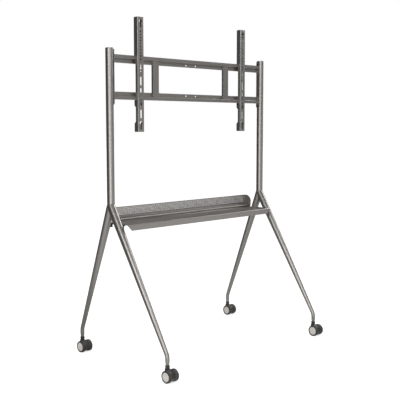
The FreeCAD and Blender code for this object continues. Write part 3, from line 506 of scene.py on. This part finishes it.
# Tray: one folded sheet, and its perforated back between the turned-in ends
tray = {
    "halfWidth": 0.567,
    "front": -0.111,           # from the plane of the posts, as the next one
    "floorBack": 0.039,
    "floorTop": 0.742,
    "lip": 0.0315,
    "lipCut": 0.027,
    "midHalf": 0.551,          # half of the stretch between the ends
    "riser": 0.015,
    "undercut": 0.003,         # how far the riser leans forwards
    "ledge": 0.053,
    "ledgeFold": 0.007,
    "ledgeSteps": 8,
    "backFoot": 0.006,
    "backHeight": 0.058,
    "cheekRound": 0.037,
    "cheekSteps": 10,
    "fold": 0.003,
    "foldSteps": 4,
    "sharpFold": 1.0,          # angle in radians from which an edge is a fold
    "sheet": 0.002,
    "smoothAngle": 25,
    "backSheet": 0.0012,
    "backGap": 0.0002,         # between the perforated back and the ends
    "holeRadius": 0.0019,
    "holeSides": 8,            # as many as a square has edges, once each is cut in two
    "pitchX": 0.008,
    "pitchZ": 0.007,
    "columns": 135,
    "rowPairs": 3,
}


def makeTrayShell():
    look = tray
    front, floorBack = postPlaneY + look["front"], postPlaneY + look["floorBack"]
    top, mid, sheet = look["floorTop"], look["midHalf"], look["sheet"]
    ledgeTop = top + look["riser"]
    back = floorBack + look["ledge"] - sheet
    floorEnd = floorBack + look["undercut"]

    def isBetweenEnds(edge):
        return all(abs(corner.co.x) < mid + nearPlane for corner in edge.verts)

    def isFold(edge):
        return len(edge.link_faces) == 2 and edge.calc_face_angle(0.0) > look["sharpFold"]

    piece = startPlane("trayShell", (-look["halfWidth"], look["halfWidth"]), (front, floorEnd), top)
    pick(piece, "EDGE", lambda edge: edgeLies(edge, 1, front))
    extrudeEdges((0, 0, -look["lip"]))
    pick(piece, "VERT", lambda corner: corner.co.z < top - look["lip"] / 2)
    roundPicked(look["lipCut"], 1, "VERTICES")
    for side in (-1, 1):
        cutAt((side * mid, 0, 0), (1, 0, 0))
    pick(piece, "EDGE", lambda edge: edgeLies(edge, 1, floorEnd) and isBetweenEnds(edge))
    extrudeEdges((0, -look["undercut"], look["riser"]))
    extrudeEdges((0, back - floorBack, 0))
    extrudeEdges((0, 0, look["backFoot"]))
    for side in (-1, 1):
        pick(piece, "EDGE", lambda edge: edgeLies(edge, 0, side * mid) and edgeLies(edge, 2, ledgeTop))
        extrudeEdges((0, 0, look["backHeight"]))
    halfUp = ledgeTop + look["backHeight"] / 2
    pick(piece, "VERT", lambda corner: abs(corner.co.y - floorBack) < onPlane and corner.co.z > halfUp)
    roundPicked(look["cheekRound"], look["cheekSteps"], "VERTICES")
    pick(piece, "EDGE", lambda edge: edgeLies(edge, 1, floorBack) and edgeLies(edge, 2, ledgeTop))
    roundPicked(look["ledgeFold"], look["ledgeSteps"])
    pick(piece, "EDGE", isFold)
    roundPicked(look["fold"], look["foldSteps"])
    tidyMesh()
    floorFace = max(piece.data.polygons, key=lambda face: face.area)
    if floorFace.normal.z < 0:
        piece.data.flip_normals()
    giveThickness(piece, sheet)
    smoothOver(piece, look["smoothAngle"])
    return piece


def holeTile(name, middle):
    # one round hole in a square of sheet, as high and wide as the holes are apart
    bpy.ops.mesh.primitive_circle_add(vertices=tray["holeSides"], radius=tray["holeRadius"],
                                      location=middle, rotation=(math.pi / 2, 0, 0))
    tile = nameNewest(name)
    startEditing()
    bpy.ops.mesh.select_all(action="DESELECT")
    bpy.ops.mesh.primitive_circle_add(vertices=4, radius=math.sqrt(0.5),
                                      location=middle, rotation=(math.pi / 2, math.pi / 4, 0))
    bpy.ops.mesh.subdivide(number_cuts=1)
    bpy.ops.transform.resize(value=(tray["pitchX"], 1, tray["pitchZ"]), center_override=middle)
    bpy.ops.mesh.select_all(action="SELECT")
    bpy.ops.mesh.bridge_edge_loops()
    leaveEditing()
    return tile


def repeatAlong(piece, step, count):
    row = piece.modifiers.new("row", "ARRAY")
    row.count = count
    row.use_relative_offset = False
    row.use_constant_offset = True
    row.constant_offset_displace = step
    row.use_merge_vertices = True
    row.merge_threshold = onPlane
    applyModifier(piece, row)


def stretchEdge(piece, axis, place, step):
    # draws the free edges at one place along the axis out by step
    pick(piece, "EDGE", lambda edge: edgeLies(edge, axis, place, nearPlane))
    extrudeEdges(step)


def makeTrayBack():
    look = tray
    back = postPlaneY + look["floorBack"] + look["ledge"] - look["sheet"]
    foot = look["floorTop"] + look["riser"] + look["backFoot"]
    top = look["floorTop"] + look["riser"] + look["backHeight"]
    pitchX, pitchZ, columns = look["pitchX"], look["pitchZ"], look["columns"]
    margin = (top - foot - 2 * look["rowPairs"] * pitchZ) / 2
    rowHalf = columns * pitchX / 2
    endMargin = look["midHalf"] - look["backGap"] - rowHalf
    first = Vector((-rowHalf + pitchX / 2, back, foot + margin + pitchZ / 2))

    evenRow = holeTile("trayBack", first)
    repeatAlong(evenRow, (pitchX, 0, 0), columns)
    oddRow = holeTile("trayBackOdd", first + Vector((pitchX / 2, 0, pitchZ)))
    repeatAlong(oddRow, (pitchX, 0, 0), columns - 1)
    startEditing()
    for side in (-1, 1):
        stretchEdge(oddRow, 0, side * (rowHalf - pitchX / 2), (side * pitchX / 2, 0, 0))
    leaveEditing()
    makeActive(evenRow)
    oddRow.select_set(True)
    bpy.ops.object.join()
    piece = bpy.context.object
    repeatAlong(piece, (0, 0, 2 * pitchZ), look["rowPairs"])
    startEditing()
    bpy.ops.mesh.select_all(action="SELECT")
    bpy.ops.mesh.remove_doubles(threshold=onPlane)
    for side in (-1, 1):
        stretchEdge(piece, 0, side * rowHalf, (side * endMargin, 0, 0))
    stretchEdge(piece, 2, foot + margin, (0, 0, -margin))
    stretchEdge(piece, 2, top - margin, (0, 0, margin))
    bpy.ops.mesh.select_all(action="SELECT")
    bpy.ops.mesh.normals_make_consistent(inside=False)
    leaveEditing()
    if piece.data.polygons[0].normal.y > 0:
        piece.data.flip_normals()
    giveThickness(piece, look["backSheet"])
    return piece


settle(makeTrayShell(), "stand", "grey_paint", "tray")
settle(makeTrayBack(), "stand", "grey_paint")
print("tray ready")


# Casters: turned wheels, and the caps set into them
caster = {
    "wheelInner": 0.0103,      # a wheel's two faces, from the caster's middle
    "wheelOuter": 0.0318,
    "hubInner": 0.0093,
    "bore": 0.0041,
    "hub": 0.0085,
    "hubDepth": 0.0073,        # its outer end, and how far that is turned down
    "hubTaper": 0.001,
    "innerSide": [
        # past the inner face, radius: the dish, then the lip and the round into the tread
        (0.0068, 0.0093), (0.0068, 0.0215), (0.0004, 0.0223), (0.0, 0.0228),
        (0.0, 0.0284), (0.0004, 0.0297), (0.0013, 0.0307), (0.0026, 0.0313), (0.0050, 0.03172),
    ],
    "outerSide": [
        # past the outer face, radius: a groove in the tread, then the shoulder and the proud rim
        (-0.0076, 0.03172), (-0.0070, 0.0310), (-0.0064, 0.0310), (-0.0058, 0.03172),
        (-0.0024, 0.0315), (-0.0009, 0.0310), (0.0001, 0.0301), (0.0006, 0.0289),
        (0.0007, 0.0274), (0.0005, 0.0252),
    ],
    "seat": 0.0233,            # radius and depth of the cap's seat, and how its edge is broken
    "seatDepth": 0.0030,
    "seatBreak": (0.0005, 0.0006),
    "capRadius": 0.0231,
    "capBack": 0.0029,
    "capRim": [
        # past the wheel's outer face, past the cap's radius: a rolled rim
        (-0.0010, 0.0), (-0.0006, -0.0003), (-0.0004, -0.0009),
        (-0.0005, -0.0014), (-0.0010, -0.0022), (-0.0012, -0.0034),
    ],
    "capMiddle": [
        # past the wheel's outer face, radius: a flat middle in a shallow dish
        (-0.0012, 0.0090), (-0.0010, 0.0084), (-0.0009, 0.0076), (-0.0009, 0.0),
    ],
    "steps": 72,
    "smoothAngle": 40,
}


def turnOnAxle(name, profile, centre, towards):
    # the profile's pairs run outwards from the caster's middle and away from the axle
    points = [(centre[0] + towards * reach, centre[1], centre[2] + radius) for reach, radius in profile]
    piece = turnOnLathe(name, points, centre, (1, 0, 0), caster["steps"])
    smoothOver(piece, caster["smoothAngle"])
    return piece


def makeWheel(name, centre, towards):
    look = caster
    inner, outer, hubInner = look["wheelInner"], look["wheelOuter"], look["hubInner"]
    bore, hub, seat = look["bore"], look["hub"], look["seat"]
    breakDepth, breakHeight = look["seatBreak"]
    seatBottom, hubOuter = outer - look["seatDepth"], outer - look["hubDepth"]
    profile = [(hubInner, bore), (hubInner, hub)]
    profile += [(inner + depth, radius) for depth, radius in look["innerSide"]]
    profile += [(outer + depth, radius) for depth, radius in look["outerSide"]]
    profile += [(outer, seat + breakHeight), (outer - breakDepth, seat), (seatBottom, seat)]
    profile += [(seatBottom, hub), (hubOuter, hub - look["hubTaper"]), (hubOuter, bore), (hubInner, bore)]
    return turnOnAxle(name, profile, centre, towards)


def makeCap(name, centre, towards):
    look = caster
    outer, edge = look["wheelOuter"], look["capRadius"]
    capBack = outer - look["capBack"]
    profile = [(capBack, 0.0), (capBack, edge)]
    profile += [(outer + depth, edge + past) for depth, past in look["capRim"]]
    profile += [(outer + depth, radius) for depth, radius in look["capMiddle"]]
    return turnOnAxle(name, profile, centre, towards)


casterPlaces = {corner: middleOf("axle_" + corner)
                for corner in ("front_left", "rear_left", "front_right", "rear_right")}
firstPlace = casterPlaces["front_left"]
firstWheel = makeWheel("wheelLeft_front_left", firstPlace, -1)
firstCap = makeCap("capLeft_front_left", firstPlace, -1)
for corner, spot in casterPlaces.items():
    shift = [spot[axis] - firstPlace[axis] for axis in range(3)]
    for hand, mirrorAt in (("left", None), ("right", firstPlace[0])):
        if corner == "front_left" and hand == "left":
            wheelPiece, capPiece = firstWheel, firstCap
        else:
            ending = hand.capitalize() + "_" + corner
            wheelPiece = copyTo(firstWheel, "wheel" + ending, shift, mirrorAt)
            capPiece = copyTo(firstCap, "cap" + ending, shift, mirrorAt)
        body = "wheel_" + corner + "_" + hand
        settle(wheelPiece, body, "wheel_plastic", body)
        settle(capPiece, body, "cap_plastic", "hub_cap_" + corner + "_" + hand)
print("wheels and caps ready")


# Legs: tapered tubes with a swaged end, bent upright, cut at the seams and ground flush at the top
leg = {
    "reach": {"front": 0.436, "rear": 0.273},
    "lean": {"front": -1, "rear": 1},
    "junction": 0.841,         # height at which the axes of post and legs meet
    "topRadius": 0.0225,
    "tipRadius": 0.01125,
    "postRadius": 0.020,
    "bendHeight": 0.126,
    "bendRadius": 0.060,
    "bendSteps": 12,
    "end": 0.082,
    "swageRadius": 0.00925,
    "swageLength": 0.016,
    "clearance": 0.00005,      # round the stem
    "recessGap": 0.001,        # above the stem
    "overrun": 0.040,          # past the junction, cut off again at the seams
    "flush": 0.0021,           # how far the top is ground down towards the post
    "flushSteps": 3,
    "seamRound": 0.0005,
    "seamSteps": 2,
    "sharpSeam": 0.3,          # angle in radians from which an edge of a cut is rounded
    "around": 56,
    "smoothAngle": 40,
}


def growRing(step, factor, middle):
    # extrudes the picked ring by step and scales it about its new middle
    extrudeEdges(step)
    bpy.ops.transform.resize(value=(factor, factor, factor), center_override=middle)


def makeLeg(name, x, end, otherEnd, stemNode):
    look = leg
    lean, reach, otherReach = look["lean"][end], look["reach"][end], look["reach"][otherEnd]
    swage, tip, low = look["swageRadius"], look["tipRadius"], look["end"]
    bendRadius, overrun = look["bendRadius"], look["overrun"]
    stemLow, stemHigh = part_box(stemNode)
    bore = (stemHigh[0] - stemLow[0]) / 2 + look["clearance"]
    recess = stemHigh[2] + look["recessGap"]

    # the leg's axis: upright from its end, bent, then straight past the post's axis
    fall = look["junction"] - look["bendHeight"]
    slope = math.hypot(reach, fall)
    axisTop = look["junction"] - (look["topRadius"] - look["postRadius"]) * slope / reach
    drop = axisTop - look["bendHeight"]
    run = math.hypot(reach, drop)
    turn = math.atan2(reach, drop)
    tangent = bendRadius * (run - drop) / reach
    bendEnd = look["bendHeight"] - tangent
    endY = postPlaneY + lean * reach
    bendCentreY = postPlaneY + lean * (reach - bendRadius)
    taper = (look["topRadius"] - tip) / (run - tangent)

    bpy.ops.mesh.primitive_circle_add(vertices=look["around"], radius=bore, fill_type="NGON",
                                      location=(x, endY, recess))
    piece = nameNewest(name)
    startEditing()
    pick(piece, "EDGE", lambda edge: True)
    radius, height = bore, recess
    swageTop = low + look["swageLength"]
    rings = [
        # radius and height: down the bore, round the rim, up the swage and over its shoulder
        (bore, low + 0.0006), (bore + 0.0004, low),
        (swage - 0.0008, low), (swage - 0.0002, low + 0.0003), (swage, low + 0.0010),
        (tip - 0.0003, swageTop - 0.0015), (tip, swageTop + 0.0010), (tip, bendEnd),
    ]
    for nextRadius, nextHeight in rings:
        growRing((0, 0, nextHeight - height), nextRadius / radius, (x, endY, nextHeight))
        radius, height = nextRadius, nextHeight
    bpy.ops.mesh.spin(steps=look["bendSteps"], angle=turn, axis=(-lean, 0, 0),
                      center=(x, bendCentreY, bendEnd))
    bendTop = Vector((x, bendCentreY + lean * bendRadius * math.cos(turn),
                      bendEnd + bendRadius * math.sin(turn)))
    farEnd = Vector((x, postPlaneY - lean * overrun * reach / run, axisTop + overrun * drop / run))
    growRing(farEnd - bendTop, (look["topRadius"] + taper * overrun) / tip, farEnd)
    bpy.ops.mesh.edge_face_add()

    # the seams lie half way between this leg and the post, and between the two legs
    junction = Vector((x, postPlaneY, look["junction"]))
    half = math.atan2(reach, fall) / 2
    otherSlope = math.hypot(otherReach, fall)
    seamY = reach / slope - otherReach / otherSlope
    seamZ = fall / slope + fall / otherSlope
    towardsPost = Vector((0, -lean * math.sin(half), math.cos(half)))
    towardsLeg = Vector((0, -lean * seamZ, -seamY)).normalized()
    trimAt(junction, towardsPost)
    trimAt(junction, towardsLeg)

    def rimOn(normal):
        def wanted(edge):
            if any(abs((corner.co - junction).dot(normal)) > 2 * onPlane for corner in edge.verts):
                return False
            return len(edge.link_faces) == 2 and edge.calc_face_angle(0.0) > look["sharpSeam"]
        return wanted

    pick(piece, "EDGE", rimOn(towardsPost))
    roundPicked(look["flush"], look["flushSteps"])
    pick(piece, "EDGE", rimOn(towardsLeg))
    roundPicked(look["seamRound"], look["seamSteps"])
    tidyMesh()
    smoothOver(piece, look["smoothAngle"])
    return piece


for hand in ("left", "right"):
    postX = middleOf("post_" + hand)[0]
    for end, otherEnd in (("front", "rear"), ("rear", "front")):
        legPiece = makeLeg(end + "LegTube_" + hand, postX, end, otherEnd, "stem_" + end + "_" + hand)
        settle(legPiece, "stand", "grey_paint", end + "_leg_" + hand)
print("legs ready")


# Folded, milled and moulded frame nodes: the same forms with their edges broken
edgeBreaks = {
    "widths": {
        # node, how far its edges are rounded
        "upper_rail": 0.0003,
        "lower_rail": 0.0003,
        "stile_left": 0.0003,
        "stile_right": 0.0003,
        "end_plate_left": 0.0008,
        "end_plate_right": 0.0008,
        "tv_arm_left": 0.0002,
        "tv_arm_right": 0.0002,
        "hood_front_left": 0.0007,
        "hood_rear_left": 0.0007,
        "hood_front_right": 0.0007,
        "hood_rear_right": 0.0007,
        "brake_pedal_front_left": 0.0007,
        "brake_pedal_front_right": 0.0007,
        "tray_lug_front_left": 0.0005,
        "tray_lug_rear_left": 0.0005,
        "tray_lug_front_right": 0.0005,
        "tray_lug_rear_right": 0.0005,
    },
    "segments": 2,
    "flatAngle": 0.5,          # degrees up to which faces are one flat face
    "smoothAngle": 30,
    "sharpAngle": 35,          # degrees from which an edge is broken
}


def breakEdges(node, width):
    # a merged copy of the node's mesh, flat faces rejoined and its sharp edges rounded
    look = edgeBreaks
    words = node.split("_")
    name = words[0] + "".join(word.capitalize() for word in words[1:]) + "Rounded"
    piece = copyTo(frame["nodes"][node], name, (0, 0, 0))
    makeActive(piece)
    startEditing()
    bpy.ops.mesh.customdata_custom_splitnormals_clear()
    bpy.ops.mesh.select_mode(type="VERT")
    bpy.ops.mesh.select_all(action="SELECT")
    bpy.ops.mesh.remove_doubles(threshold=onPlane)
    bpy.ops.mesh.dissolve_limited(angle_limit=math.radians(look["flatAngle"]))
    bpy.ops.mesh.normals_make_consistent(inside=False)
    leaveEditing()
    smoothOver(piece, look["smoothAngle"])
    rounding = piece.modifiers.new("rounding", "BEVEL")
    rounding.width = width
    rounding.segments = look["segments"]
    rounding.limit_method = "ANGLE"
    rounding.angle_limit = math.radians(look["sharpAngle"])
    rounding.harden_normals = True
    applyModifier(piece, rounding)
    return piece


for node, width in edgeBreaks["widths"].items():
    settle(breakEdges(node, width), bodyOf[node], slotOf[node], node)
print("edges broken on", len(edgeBreaks["widths"]), "nodes")
